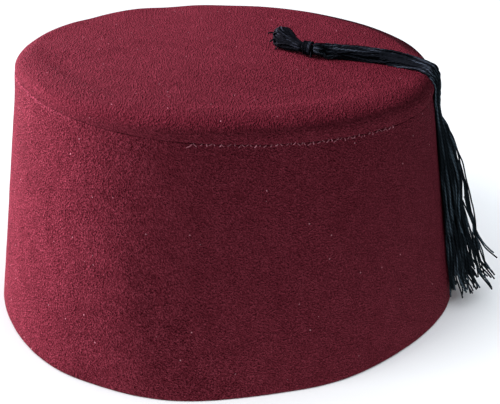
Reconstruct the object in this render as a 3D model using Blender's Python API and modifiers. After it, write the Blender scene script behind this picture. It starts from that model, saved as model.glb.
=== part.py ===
"""A short fez of wine-red felt with a black thread tassel, standing on its open rim.

Metres, +Z up, the front towards -Y. The pieces are modelled about the crown's axis and parented to
an empty that sets that axis, so that the origin lies under the middle of the whole object, tassel
included, on the surface that the hat stands on.
"""

import math
from collections import namedtuple

import bmesh
import bpy
from mathutils import Vector

MM = 0.001
GAP = 0.3 * MM  # clearance between two pieces that touch on the real hat
FELT = 2.5 * MM  # thickness of the felt

# --- the crown's outline, seen from above ----------------------------------------------------
# The felt is soft, so neither outline is a circle: each is a mean radius and a few shallow lobes.
Lobe = namedtuple("Lobe", "count height toward_deg")

BASE_RADIUS = 93.8 * MM
BASE_LOBES = (
    Lobe(2, 1.88 * MM, 69),
    Lobe(3, 0.98 * MM, 0),
    Lobe(4, 0.75 * MM, -24),
    Lobe(5, 0.42 * MM, -8),
    Lobe(6, 0.68 * MM, 0),
)
SEAM_RADIUS = 80.8 * MM
SEAM_LOBES = (
    Lobe(2, 0.37 * MM, -51),
    Lobe(3, 0.61 * MM, -33),
    Lobe(4, 0.27 * MM, -23),
    Lobe(5, 0.42 * MM, 34),
)
TOP_SHIFT = Vector((1.1, 0.1, 0.0)) * MM  # the top's centre from the base's

# --- the crown's heights ---------------------------------------------------------------------
TOP_HEIGHT = 97.0 * MM  # the flat of the top, on the axis
TOP_SLOPE_X = -0.022  # the top leans down to the right
TOP_SLOPE_Y = -0.044  # and down to the back
DOME = 1.0 * MM  # how far the top swells above its edge
RIM_DROP = 5.6 * MM  # how far the top panel turns down to its seam, on average
RIM_DROP_SWING = 2.9 * MM  # it turns down further at the front right than at the back left
RIM_DROP_TOWARD_DEG = -53
RIM_ROLL_PER_DROP = 0.75  # how far in the turned edge reaches, as a share of its drop
RIM_ROLL_EXTRA = 0.5 * MM
RIM_PROUD = 0.5 * MM  # the turned edge bulges past the side wall
# From the left round the front the turned edge is a long soft shoulder: it reaches further in, has
# a squarer section and bulges less. These are the angles where it begins, is full, ebbs and ends.
SHOULDER_DEG = (-215, -140, -45, -20)
SHOULDER_REACH = 9.0 * MM
SHOULDER_SQUARE = 1.0
SHOULDER_LESS_PROUD = 0.4 * MM
AXIS_PLACE = Vector((-9.0, 0.3, 0.0)) * MM

# --- the felt's facets -----------------------------------------------------------------------
AROUND = 80  # sections round the crown
RIM_ARC_DEG = (0, 20, 42, 66, 90)  # along the turned edge, from upright to level
TOP_RINGS = (0.75, 0.45, 0.18)  # rings across the flat of the top, as shares of its radius

# The side wall's section, from the foot up the outside and down the inside. Level is the share
# of the wall's height, rise is added to it, and inset is measured in from the outside.
WallRow = namedtuple("WallRow", "level rise inset")
EDGE_ROLL = 0.8 * MM
WALL_ROWS = (
    WallRow(0.0, 0.0, 0.5 * MM),
    WallRow(0.0, EDGE_ROLL, 0.0),
    WallRow(0.25, 0.0, 0.0),
    WallRow(0.60, 0.0, 0.0),
    WallRow(1.0, -EDGE_ROLL, 0.0),
    WallRow(1.0, 0.0, 0.8 * MM),
    WallRow(1.0, 0.0, FELT - 0.8 * MM),
    WallRow(1.0, -EDGE_ROLL, FELT),
    WallRow(0.60, 0.0, FELT),
    WallRow(0.25, 0.0, FELT),
    WallRow(0.0, EDGE_ROLL, FELT),
    WallRow(0.0, 0.0, FELT - 0.5 * MM),
)

# --- the tassel ------------------------------------------------------------------------------
# The folded head and the bundle of threads lie on the top: x and y from the crown's axis, and
# lift from the felt to the underside.
LyingRow = namedtuple("LyingRow", "x y lift width thick")
NECK_THICK = 3.8 * MM
NECK_LIFT = 1.3 * MM  # leaves room for the thread wound round it
HEAD_ROWS = (
    LyingRow(21.6 * MM, 11.1 * MM, 2.2 * MM, 3.6 * MM, 4.2 * MM),
    LyingRow(22.1 * MM, 10.4 * MM, 1.0 * MM, 6.8 * MM, 7.0 * MM),
    LyingRow(23.1 * MM, 9.1 * MM, 0.3 * MM, 9.0 * MM, 8.6 * MM),
    LyingRow(24.8 * MM, 6.9 * MM, 0.3 * MM, 8.4 * MM, 7.6 * MM),
    LyingRow(26.4 * MM, 4.8 * MM, 0.5 * MM, 6.8 * MM, 6.2 * MM),
    LyingRow(28.2 * MM, 2.7 * MM, 0.9 * MM, 5.2 * MM, 5.0 * MM),
    LyingRow(29.7 * MM, 0.9 * MM, NECK_LIFT, 4.2 * MM, 4.0 * MM),
)
NECK_ROWS = (
    LyingRow(31.0 * MM, -0.3 * MM, NECK_LIFT, NECK_THICK, NECK_THICK),
    LyingRow(35.2 * MM, -2.0 * MM, NECK_LIFT, NECK_THICK, NECK_THICK),
)
BUNDLE_ROWS = (
    LyingRow(37.0 * MM, -2.2 * MM, 0.9 * MM, 6.4 * MM, 4.8 * MM),
    LyingRow(40.0 * MM, -1.4 * MM, 0.4 * MM, 7.2 * MM, 4.9 * MM),
    LyingRow(49.2 * MM, -2.0 * MM, 0.3 * MM, 8.6 * MM, 4.9 * MM),
    LyingRow(58.8 * MM, -3.9 * MM, 0.3 * MM, 10.0 * MM, 4.8 * MM),
    LyingRow(66.4 * MM, -6.2 * MM, 0.3 * MM, 11.2 * MM, 4.5 * MM),
)
# It turns over the rim: the angle round the crown and how far round the turned edge.
EdgeRow = namedtuple("EdgeRow", "angle_deg arc_deg width thick")
EDGE_ROWS = (
    EdgeRow(-9.8, 66, 11.0 * MM, 3.3 * MM),
    EdgeRow(-10.9, 42, 11.2 * MM, 2.6 * MM),
    EdgeRow(-11.2, 18, 11.2 * MM, 1.9 * MM),
)
# It hangs down the side wall and swells into the skirt.
HangingRow = namedtuple("HangingRow", "angle_deg height stand width thick")
HANGING_ROWS = (
    HangingRow(-10.3, 84.0 * MM, 0.6 * MM, 10.8 * MM, 1.7 * MM),
    HangingRow(-9.9, 78.0 * MM, 0.3 * MM, 11.0 * MM, 2.1 * MM),
    HangingRow(-9.6, 71.0 * MM, 0.3 * MM, 12.0 * MM, 4.2 * MM),
    HangingRow(-9.5, 61.0 * MM, 0.3 * MM, 13.4 * MM, 7.2 * MM),
    HangingRow(-9.2, 51.0 * MM, 0.3 * MM, 15.0 * MM, 9.0 * MM),
    HangingRow(-9.4, 41.0 * MM, 0.3 * MM, 16.4 * MM, 10.0 * MM),
    HangingRow(-9.2, 32.0 * MM, 0.7 * MM, 16.0 * MM, 10.2 * MM),
    HangingRow(-9.2, 27.0 * MM, 2.0 * MM, 10.0 * MM, 7.4 * MM),
)
SECTION_POINTS = 28
FLUTES = 7
FLUTE_DEPTH = 0.055
ROUTE_STEPS = 2  # sections for each row of the route

# The skirt ends in locks, in rows one behind the other from the felt outwards.
LockRow = namedtuple("LockRow", "count start_deg tip_deg stand tip_stand tip_height radius")
LOCK_ROWS = (
    LockRow(5, 7.0, 11.0, 2.0 * MM, 2.1 * MM, 5.5 * MM, 1.60 * MM),
    LockRow(5, 8.6, 12.6, 5.2 * MM, 6.2 * MM, 5.0 * MM, 1.70 * MM),
    LockRow(4, 6.4, 10.0, 8.0 * MM, 11.0 * MM, 6.0 * MM, 1.60 * MM),
    LockRow(3, 3.8, 6.6, 9.0 * MM, 16.6 * MM, 8.0 * MM, 1.30 * MM),
)
LOCK_MIDDLE_DEG = -9.2
LOCK_START_HEIGHT = 46.0 * MM
LOCK_POINTS = 7
LOCK_TIP_SHARE = 0.5  # a lock's radius at its tip, as a share of its full radius
LOCK_STAGGER = 1.5 * MM  # neighbours end at different heights

# --- the thread wound round the neck ---------------------------------------------------------
BINDING_LENGTH = 4.4 * MM
BINDING_TURNS = 6
BINDING_THREAD = 0.6 * MM
BINDING_STEPS = 20

# --- colours ---------------------------------------------------------------------------------
FELT_RED = (0.105, 0.012, 0.022, 1.0)
THREAD_BLACK = (0.006, 0.007, 0.009, 1.0)


# --- helpers ---------------------------------------------------------------------------------
def clear_scene():
    """Remove every object that the file opened with."""
    for thing in list(bpy.data.objects):
        bpy.data.objects.remove(thing, do_unlink=True)


def make_collection(name, hidden=False):
    """A collection in the scene; a hidden one holds helpers that aren't pieces."""
    collection = bpy.data.collections.new(name)
    collection.hide_render = hidden
    bpy.context.scene.collection.children.link(collection)
    return collection


def make_material(name, colour, roughness):
    material = bpy.data.materials.new(name)
    material.use_nodes = True
    shader = material.node_tree.nodes["Principled BSDF"]
    shader.inputs["Base Color"].default_value = colour
    shader.inputs["Roughness"].default_value = roughness
    shader.inputs["Metallic"].default_value = 0.0
    return material


def add_object(name, data, collection, material, parent):
    made = bpy.data.objects.new(name, data)
    made.data.materials.append(material)
    made.parent = parent
    collection.objects.link(made)
    return made


def loft(name, rings, poles=()):
    """A closed mesh through rings of points: capped by two poles, or joined end to end."""
    shape = bmesh.new()
    loops = [[shape.verts.new(point) for point in ring] for ring in rings]
    count = len(rings[0])
    if poles:
        for pole, loop in zip(poles, (loops[0], loops[-1])):
            tip = shape.verts.new(pole)
            for i in range(count):
                shape.faces.new((tip, loop[i], loop[(i + 1) % count]))
    else:
        loops.append(loops[0])
    for near, far in zip(loops, loops[1:]):
        for i in range(count):
            j = (i + 1) % count
            shape.faces.new((near[i], near[j], far[j], far[i]))
    bmesh.ops.recalc_face_normals(shape, faces=shape.faces)
    mesh = bpy.data.meshes.new(name)
    shape.to_mesh(mesh)
    shape.free()
    mesh.shade_smooth()
    mesh.set_sharp_from_angle(angle=math.radians(40))
    return mesh


def smooth_route(values, steps):
    """Points on a smooth curve through the given ones, with this many for each of them."""
    ends = [values[0] * 2 - values[1]] + values + [values[-1] * 2 - values[-2]]
    found = []
    for before, start, end, after in zip(ends, ends[1:], ends[2:], ends[3:]):
        for step in range(steps):
            t = step / steps
            pull = (end - before) * t + (2 * before - 5 * start + 4 * end - after) * t**2
            pull += (3 * start - before - 3 * end + after) * t**3
            found.append(start + pull * 0.5)
    return found + [values[-1]]


# --- the crown's form ------------------------------------------------------------------------
def outline(radius, lobes, angle):
    """Radius of a lobed outline at this angle."""
    waves = (
        lobe.height * math.cos(lobe.count * (angle - math.radians(lobe.toward_deg)))
        for lobe in lobes
    )
    return radius + sum(waves)


def ray(angle, radius):
    return Vector((math.cos(angle), math.sin(angle), 0.0)) * radius


def smooth_step(t):
    t = min(max(t, 0.0), 1.0)
    return t * t * (3 - 2 * t)


def shoulder(angle):
    """How much of the long soft shoulder the turned edge has at this angle, 0 to 1."""
    begin, full, ebb, end = SHOULDER_DEG
    deg = (math.degrees(angle) - begin) % 360 + begin
    return smooth_step((deg - begin) / (full - begin)) * smooth_step((end - deg) / (end - ebb))


def rim_drop(angle):
    """How far the top panel turns down to its seam at this angle."""
    return RIM_DROP + RIM_DROP_SWING * math.cos(angle - math.radians(RIM_DROP_TOWARD_DEG))


def rim_roll(angle):
    """How far in from the edge the top panel begins to turn down."""
    return rim_drop(angle) * RIM_ROLL_PER_DROP + RIM_ROLL_EXTRA + SHOULDER_REACH * shoulder(angle)


def rim_section(angle, arc_deg):
    """Shares (across, up) of the turned edge's section: arc 0 is upright and 90 level."""
    arc = math.radians(arc_deg)
    power = 2 / (2 + SHOULDER_SQUARE * shoulder(angle))
    return max(math.cos(arc), 0.0) ** power, math.sin(arc) ** power


def top_level(x, y):
    """Height of the plane that the top's edge lies in."""
    return TOP_HEIGHT + TOP_SLOPE_X * x + TOP_SLOPE_Y * y


def seam_point(angle, inset=0.0):
    """A point on the seam between side wall and top panel, or in from it."""
    edge = TOP_SHIFT + ray(angle, outline(SEAM_RADIUS, SEAM_LOBES, angle))
    place = TOP_SHIFT + ray(angle, outline(SEAM_RADIUS, SEAM_LOBES, angle) - inset)
    place.z = top_level(edge.x, edge.y) - rim_drop(angle)
    return place


def wall_point(angle, level, rise=0.0, inset=0.0):
    """A point of the side wall: level 0 is the foot and 1 the seam."""
    foot = ray(angle, outline(BASE_RADIUS, BASE_LOBES, angle) - inset)
    place = foot.lerp(seam_point(angle, inset), level)
    place.z += rise
    return place


def wall_at_height(angle, height):
    """The outside of the side wall at this height."""
    return wall_point(angle, height / seam_point(angle).z)


def rim_point(angle, arc_deg):
    """A point on the top panel's turned edge."""
    across, up = rim_section(angle, arc_deg)
    drop = rim_drop(angle)
    start = drop * 0.25
    proud = RIM_PROUD - SHOULDER_LESS_PROUD * shoulder(angle)
    place = seam_point(angle, (rim_roll(angle) + proud) * (1 - across) - proud)
    place.z += start + (drop - start) * up
    return place


def top_point(angle, share):
    """A point on the flat of the top, at a share of its radius."""
    reach = outline(SEAM_RADIUS, SEAM_LOBES, angle) - rim_roll(angle)
    place = TOP_SHIFT + ray(angle, reach * share)
    edge = rim_point(angle, 90).z - top_level(*seam_point(angle).xy)
    place.z = top_level(place.x, place.y) + edge + DOME * (1 - share**2)
    return place


def around():
    return [math.tau * i / AROUND for i in range(AROUND)]


def side_wall_mesh():
    rings = [[wall_point(angle, *row) for angle in around()] for row in WALL_ROWS]
    return loft("side_wall", rings)


def top_panel_mesh():
    """The top panel: its turned edge, its flat, and the same again on the inside."""
    lift = Vector((0.0, 0.0, GAP))
    down = Vector((0.0, 0.0, FELT))

    def foot(inset):
        return [seam_point(angle, inset) + lift for angle in around()]

    def inside(arc_deg):
        ring = []
        for angle in around():
            across, up = rim_section(angle, arc_deg)
            inset = FELT + (rim_roll(angle) - FELT) * (1 - across)
            height = (rim_drop(angle) - FELT) * up
            ring.append(seam_point(angle, inset) + Vector((0.0, 0.0, height)) + lift)
        return ring

    outer = [foot(0.8 * MM)]
    outer += [[rim_point(angle, arc) + lift for angle in around()] for arc in RIM_ARC_DEG]
    flat = [[top_point(angle, share) + lift for angle in around()] for share in TOP_RINGS]
    under = [[point - down for point in ring] for ring in reversed(flat)]
    inner = [inside(arc) for arc in reversed(RIM_ARC_DEG)]
    middle = top_point(0.0, 0.0) + lift
    rings = under + inner + outer + flat
    return loft("top_panel", rings, poles=(middle - down, middle))


# --- the tassel ------------------------------------------------------------------------------
def top_surface(x, y):
    """Height of the top panel over this point of its flat."""
    place = Vector((x, y, 0.0)) - TOP_SHIFT
    angle = math.atan2(place.y, place.x)
    reach = outline(SEAM_RADIUS, SEAM_LOBES, angle) - rim_roll(angle)
    return top_level(x, y) + DOME * (1 - (place.length / reach) ** 2) + GAP


def lying_station(row):
    """(middle, way out from the felt, width, thickness, flatness of the side towards the felt)
    of the bundle on the top."""
    height = top_surface(row.x, row.y) + row.lift + row.thick / 2
    return Vector((row.x, row.y, height)), Vector((0, 0, 1)), row.width, row.thick, 0.0


def edge_station(row):
    """The same, where the bundle turns over the rim."""
    angle = math.radians(row.angle_deg)
    arc = math.radians(row.arc_deg)
    out = ray(angle, math.cos(arc)) + Vector((0, 0, math.sin(arc)))
    middle = rim_point(angle, row.arc_deg) + out * (GAP * 2 + row.thick / 2)
    return middle, out, row.width, row.thick, 1.0


def hanging_station(row):
    """The same, down the side wall."""
    angle = math.radians(row.angle_deg)
    middle = wall_at_height(angle, row.height) + ray(angle, row.stand + row.thick / 2)
    return middle, ray(angle, 1.0), row.width, row.thick, 1.0


def tassel_core_mesh():
    """Head, neck and bundle: one fluted body that follows the felt over the rim."""
    rows = [lying_station(row) for row in HEAD_ROWS + NECK_ROWS + BUNDLE_ROWS]
    rows += [edge_station(row) for row in EDGE_ROWS]
    rows += [hanging_station(row) for row in HANGING_ROWS]
    middles, outs = ([row[i] for row in rows] for i in (0, 1))
    sizes = [Vector(row[2:]) for row in rows]
    middles, outs, sizes = (smooth_route(v, ROUTE_STEPS) for v in (middles, outs, sizes))
    rings = []
    for i, (middle, out, size) in enumerate(zip(middles, outs, sizes)):
        ahead = middles[min(i + 1, len(middles) - 1)] - middles[max(i - 1, 0)]
        side = ahead.cross(out).normalized()
        up = side.cross(ahead).normalized()
        ring = []
        for k in range(SECTION_POINTS):
            turn = math.tau * k / SECTION_POINTS
            swell = 1 - FLUTE_DEPTH * (1 + math.cos(FLUTES * turn))
            across = side * math.cos(turn) * size.x / 2 * swell
            rise = math.sin(turn)
            if rise < 0:
                rise = -((-rise) ** (1 / (1 + max(size.z, 0.0))))
            ring.append(middle + across + up * rise * size.y / 2 * swell)
        rings.append(ring)
    return loft("tassel", rings, poles=(middles[0], middles[-1]))


def lock_route(row, index):
    """The middle line of one lock: down inside the skirt, then out to its own tip."""
    share = index / (row.count - 1) - 0.5
    tip_height = row.tip_height + LOCK_STAGGER * (index % 2)
    route = []
    for k in range(LOCK_POINTS):
        t = k / (LOCK_POINTS - 1)
        height = LOCK_START_HEIGHT + (tip_height - LOCK_START_HEIGHT) * t
        stand = row.stand + (row.tip_stand - row.stand) * t**2
        fan = row.start_deg + (row.tip_deg - row.start_deg) * t
        angle = math.radians(LOCK_MIDDLE_DEG + share * fan)
        route.append(wall_at_height(angle, height) + ray(angle, stand))
    return route


def tube_object(name, points, radii, collection):
    """A tapered tube as a closed mesh object."""
    curve = bpy.data.curves.new(name, "CURVE")
    curve.dimensions = "3D"
    curve.bevel_depth = 1.0
    curve.bevel_resolution = 1
    curve.use_fill_caps = True
    spline = curve.splines.new("POLY")
    spline.points.add(len(points) - 1)
    for spot, point, radius in zip(spline.points, points, radii):
        spot.co = (*point, 1.0)
        spot.radius = radius
    guide = bpy.data.objects.new(name + "_guide", curve)
    collection.objects.link(guide)
    bpy.context.view_layer.update()
    evaluated = guide.evaluated_get(bpy.context.evaluated_depsgraph_get())
    mesh = bpy.data.meshes.new_from_object(evaluated)
    bpy.data.objects.remove(guide)
    shape = bmesh.new()
    shape.from_mesh(mesh)
    bmesh.ops.remove_doubles(shape, verts=shape.verts, dist=0.001 * MM)
    bmesh.ops.recalc_face_normals(shape, faces=shape.faces)
    shape.to_mesh(mesh)
    shape.free()
    tube = bpy.data.objects.new(name, mesh)
    collection.objects.link(tube)
    return tube


def make_locks(collection, parent):
    """The locks that the tassel's skirt ends in, which a union joins to it."""
    for r, row in enumerate(LOCK_ROWS):
        for i in range(row.count):
            route = lock_route(row, i)
            last = len(route) - 1
            radii = [row.radius * (1 - (1 - LOCK_TIP_SHARE) * k / last) for k in range(last + 1)]
            lock = tube_object(f"lock_{r}_{i}", route, radii, collection)
            lock.parent = parent
            lock.display_type = "WIRE"
            lock.hide_render = True


def make_tassel(pieces, helpers, material, parent):
    make_locks(helpers, parent)
    tassel = add_object("tassel", tassel_core_mesh(), pieces, material, parent)
    union = tassel.modifiers.new("locks", "BOOLEAN")
    union.operation = "UNION"
    union.operand_type = "COLLECTION"
    union.collection = helpers


def binding_profile():
    """The binding's section: wound threads outside, a straight bore inside."""
    bore = NECK_THICK / 2 + GAP
    pitch = BINDING_LENGTH / BINDING_TURNS
    points = []
    for turn in range(BINDING_TURNS):
        middle = BINDING_LENGTH / 2 - pitch * (turn + 0.5)
        for deg in (75, 30, -30, -75):
            swing = math.radians(deg)
            reach = bore + BINDING_THREAD * (0.35 + 0.65 * math.cos(swing))
            points.append((reach, 0.0, middle + pitch / 2 * math.sin(swing)))
    points.append((bore, 0.0, points[-1][2]))
    points.append((bore, 0.0, points[0][2]))
    return points


def make_neck_binding(pieces, material, parent):
    points = binding_profile()
    mesh = bpy.data.meshes.new("neck_binding")
    edges = [(i, (i + 1) % len(points)) for i in range(len(points))]
    mesh.from_pydata(points, edges, [])
    binding = add_object("neck_binding", mesh, pieces, material, parent)
    turned = binding.modifiers.new("turned", "SCREW")
    turned.axis = "Z"
    turned.steps = BINDING_STEPS
    turned.render_steps = BINDING_STEPS
    turned.use_merge_vertices = True
    turned.merge_threshold = 0.001 * MM
    turned.use_smooth_shade = True
    start, end = (lying_station(row)[0] for row in NECK_ROWS)
    binding.location = start.lerp(end, 0.5)
    binding.rotation_mode = "QUATERNION"
    binding.rotation_quaternion = (end - start).to_track_quat("Z", "Y")


def main():
    clear_scene()
    pieces = make_collection("fez_hat")
    helpers = make_collection("fez_hat_helpers", hidden=True)
    felt = make_material("wine_red_felt", FELT_RED, 0.95)
    thread = make_material("black_thread", THREAD_BLACK, 0.5)
    axis = bpy.data.objects.new("crown_axis", None)
    axis.location = AXIS_PLACE
    pieces.objects.link(axis)
    add_object("side_wall", side_wall_mesh(), pieces, felt, axis)
    add_object("top_panel", top_panel_mesh(), pieces, felt, axis)
    make_tassel(pieces, helpers, thread, axis)
    make_neck_binding(pieces, thread, axis)


main()
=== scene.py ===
"""The looks of a wine-red felt fez with a black thread tassel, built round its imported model.

The shapes are worked out in millimetres about the crown's axis, as the model's source has them, and
become metres in the model's frame when a mesh is made.
"""

import math
from collections import namedtuple

import bpy
import numpy as np
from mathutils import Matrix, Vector


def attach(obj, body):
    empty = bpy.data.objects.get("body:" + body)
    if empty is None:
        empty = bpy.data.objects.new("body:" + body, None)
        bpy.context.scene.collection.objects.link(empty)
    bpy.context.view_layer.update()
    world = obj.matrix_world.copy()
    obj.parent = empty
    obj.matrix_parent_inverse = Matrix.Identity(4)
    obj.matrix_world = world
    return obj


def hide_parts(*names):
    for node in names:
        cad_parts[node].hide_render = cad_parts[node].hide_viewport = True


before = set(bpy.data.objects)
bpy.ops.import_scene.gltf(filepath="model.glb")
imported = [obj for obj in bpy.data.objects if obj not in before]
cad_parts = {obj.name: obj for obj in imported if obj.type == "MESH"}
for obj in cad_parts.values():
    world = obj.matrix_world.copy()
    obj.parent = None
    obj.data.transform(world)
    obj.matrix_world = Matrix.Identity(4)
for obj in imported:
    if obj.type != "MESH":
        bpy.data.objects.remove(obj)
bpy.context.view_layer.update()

MM = 0.001
AXIS_PLACE = np.array((-9.0, 0.3, 0.0))  # the crown's axis in the model's frame
UP = np.array((0.0, 0.0, 1.0))
GOLDEN_TURN = math.pi * (3 - math.sqrt(5))
GAP = 0.3  # between the felt and what lies on it, and between wall and top
FELT = 2.5  # thickness
DICE = np.random.default_rng(20)


def table(kind, rows):
    """A short table: its rows as named tuples of this kind."""
    return tuple(kind(*row) for row in rows)


# --- the crown's outline and heights, as in the model's source
# A lobe is its count round the crown, its height, and the bearing of one of its crests.
BASE_RADIUS = 93.8
BASE_LOBES = ((2, 1.88, 69), (3, 0.98, 0), (4, 0.75, -24), (5, 0.42, -8), (6, 0.68, 0))
SEAM_RADIUS = 80.8
SEAM_LOBES = ((2, 0.37, -51), (3, 0.61, -33), (4, 0.27, -23), (5, 0.42, 34))
TOP_SHIFT = np.array((1.1, 0.1, 0.0))
TOP_HEIGHT = 97
TOP_SLOPE_X, TOP_SLOPE_Y = -0.022, -0.044
DOME = 1
RIM_DROP = 5.6
RIM_DROP_SWING = 2.9
RIM_DROP_TOWARD_DEG = -53
RIM_UPRIGHT = 0.25  # share of the drop that is below the roll
RIM_ROLL_PER_DROP = 0.75
RIM_ROLL_EXTRA = 0.5
RIM_PROUD = 0.5
SHOULDER_DEG = (-215, -140, -45, -20)
SHOULDER_REACH = 9
SHOULDER_SQUARE = 1
SHOULDER_LESS_PROUD = 0.4
EDGE_ROLL = 0.8

# --- the camera, as the photograph was taken
CAMERA_TARGET = Vector((1.39, 0.3, 34)) * MM
CAMERA_DISTANCE = 555.5 * MM
CAMERA_ELEVATION_DEG = 25.086
CAMERA_LENS = 97.385
FLOOR = 4  # half the floor's side, in metres

# --- fineness of the felt's meshes
WALL_AROUND = 720
WALL_ROWS = 74
INSIDE_ROWS = 22
EDGE_STEPS = 5
TOP_AROUND = 720
RIM_ROWS = 20

# --- the seam
# All round, the wall's lip and the panel's lower edge meet in a soft crease. One stretch of it is
# sewn again by hand, which draws the crease in.
LIP_ROLL = 0.32
SOFT_FOLD = 0.24  # how far the panel's lower edge is tucked in
SOFT_GAP = 0.06
PROUD_LIP_DEG = (-200, -185, -152, -138)  # here the wall's lip stands proud of the panel's edge
PROUD_LIP = 0.45
PAINTED_HIGHLIGHT_LIP_DEG = (-186, -178, -146, -122)  # and there a highlight is painted along its stretched edge
RUFFLED_DEG = -152  # the wall's nap is ruffled round here
RUFFLED_REACH_DEG = 56
RUFFLED_AT_FOOT_DEG = 26  # it reaches further at the foot
SEWN_FROM_DEG = -98.5
SEWN_TO_DEG = -42
SEWN_FOLD = 0.5
SEWN_DRAW = 0.15  # how far the wall's lip is drawn in
STITCH_PITCH = 1.6
STITCH_PITCH_JITTER = 0.6
STITCH_THREAD = 0.42

# --- shallow swells and hollows
SWELL_RADIUS = 88  # of the wall, for reaches round it
# On the wall: bearing, height, reach round and up, and rise.
WALL_SWELLS = (
    (-104.9, 33, 1.3, 8, -0.14), (-102.9, 36, 1.6, 7, 0.1), (-119.5, 38, 5.5, 12, -0.25),
    (-119, 0, 8, 14, -0.8), (-77.5, 0, 10, 14, -0.6), (-62, 0, 10, 14, 0.35),
    (-172, 45, 20, 40, 0.25), (-26, 0, 16, 20, 0.6), (-140, 66, 12, 20, -0.2),
    (-92, 55, 12, 18, 0.16), (-70, 35, 14, 22, -0.18), (-45, 60, 12, 20, 0.16),
    (60, 45, 14, 22, 0.22), (95, 60, 16, 20, -0.22), (140, 40, 14, 24, 0.2),
)
# A fold in the wall, from half its height down to the foot: heights, and there its line, how proud
# it is, and how far it reaches to the left and right.
FOLD_RADIUS = 90  # of the wall there
FOLD_ROWS = (
    (0, -100, 1.1, 10, 10), (8, -103, 1.1, 11, 8), (22, -107, 1, 11, 6),
    (39, -111, 0.8, 10, 4), (48.6, -113, 0.55, 9, 3.5), (62, -116, 0, 8, 4),
)
# The top's edge isn't quite in one plane: where it rises or sinks, how far round, and how much.
RIM_SWELLS = (
    (165, 4, -0.45), (138, 3.5, -0.35), (121, 6, 0.25), (109.5, 5, -0.6),
    (90, 5, -0.25), (72, 10, 0.2), (24, 14, -0.1),
)
RIM_SWELL_REACH = 12  # how far in from the edge it is felt
# Here the turned edge and the wall below bulge outwards.
RIM_BULGE = ((-169, 9, 0.9),)
RIM_BULGE_DOWN = 7  # its reach down the wall
WALL_CALM = 8  # the wall's swells fade out from this far below the seam
# On the top: x, y, reach along each, and rise.
TOP_SWELLS = (
    (-66, -27, 9, 14, -0.5), (-30, -40, 26, 14, 0.25),
    (14, -4.5, 16, 2.2, -0.12), (30, -50, 22, 12, -0.22),
    (-20, 40, 30, 18, -0.2), (40, 35, 20, 20, 0.2),
)

# The top's edge at the back right has painted shade, darker where it turns away from the lamps:
# where that begins, is full, ebbs and ends.
PAINTED_SHADE_RIM_DEG = (2, 14, 52, 70)

# --- the tassel's route, as in the model's source
LyingRow = namedtuple("LyingRow", "x y lift width thick")
NECK_THICK = 3.8
NECK_LIFT = 1.3
HEAD_ROWS = table(LyingRow, (
    (21.6, 11.1, 2.2, 3.6, 4.2), (22.1, 10.4, 1, 6.8, 7),
    (23.1, 9.1, 0.3, 9, 8.6), (24.8, 6.9, 0.3, 8.4, 7.6),
    (26.4, 4.8, 0.5, 6.8, 6.2), (28.2, 2.7, 0.9, 5.2, 5),
    (29.7, 0.9, NECK_LIFT, 4.2, 4),
))
NECK_ROWS = table(LyingRow, (
    (31, -0.3, NECK_LIFT, NECK_THICK, NECK_THICK),
    (35.2, -2, NECK_LIFT, NECK_THICK, NECK_THICK),
))
BUNDLE_ROWS = table(LyingRow, (
    (37, -2.2, 0.9, 6.4, 4.8), (40, -1.4, 0.4, 7.2, 4.9), (49.2, -2, 0.3, 8.6, 4.9),
    (58.8, -3.9, 0.3, 10, 4.8), (66.4, -6.2, 0.3, 11.2, 4.5),
))
EdgeRow = namedtuple("EdgeRow", "angle_deg arc_deg width thick")
EDGE_ROWS = table(EdgeRow, (
    (-9.8, 66, 11, 3.3), (-10.9, 42, 11.2, 2.6), (-11.2, 18, 11.2, 1.9),
))
HangingRow = namedtuple("HangingRow", "angle_deg height stand width thick")
HANGING_ROWS = table(HangingRow, (
    (-10.3, 84, 0.6, 10.8, 1.7), (-9.9, 78, 0.3, 11, 2.1), (-9.6, 71, 0.3, 12, 4.2),
    (-9.5, 61, 0.3, 13.4, 7.2), (-9.2, 51, 0.3, 15, 9), (-9.4, 41, 0.3, 16.4, 10),
    (-9.2, 32, 0.7, 16, 10.2), (-9.2, 27, 2, 10, 7.4),
))
# A row of locks: how many, the degrees they spread over where they begin and at the tips, how far
# from the wall they stand at both, the height of the tips, and a lock's radius.
LOCK_ROWS = (
    (5, 7, 11, 2, 2.1, 5.5, 1.6),
    (5, 8.6, 12.6, 5.2, 6.2, 5, 1.7),
    (4, 6.4, 10, 8, 11, 6, 1.6),
    (3, 3.8, 6.6, 9, 16.6, 8, 1.3),
)
LOCK_MIDDLE_DEG = -9.2
LOCK_START_HEIGHT = 46
LOCK_STAGGER = 1.5

# --- the tassel's threads
THREADS = 104
THREAD = 0.68  # diameter
THREAD_SIDES = 7
LYING_POINTS = 64
HANGING_POINTS = 42
SKIRT_RADIUS = 92  # of the wall behind the skirt
PARTING_HEIGHT = 60  # the bundle begins to part into locks here
PARTED_HEIGHT = 24  # and has parted here
STRAND_THREADS = 3  # a lock is made of strands of this many threads
STRAND_RADIUS = 0.42
SKIRT_WANDER = 0.75  # how far a strand strays from its lock's line
WANDER_HEIGHTS = (74, 24)  # it begins to stray, and strays in full
FILL = 0.92  # how much of the bundle's section the threads' middles fill
TOP_WANDER = 0.17
CRIMP = 0.09  # height of the small waves of the threads on the top
CRIMP_PITCH = 3.4
OUTER_LOOSE = 1.9  # how far the outermost threads stand away from the rest
OUTER_LOOSE_AT = (52, 11)  # height and reach
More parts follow.
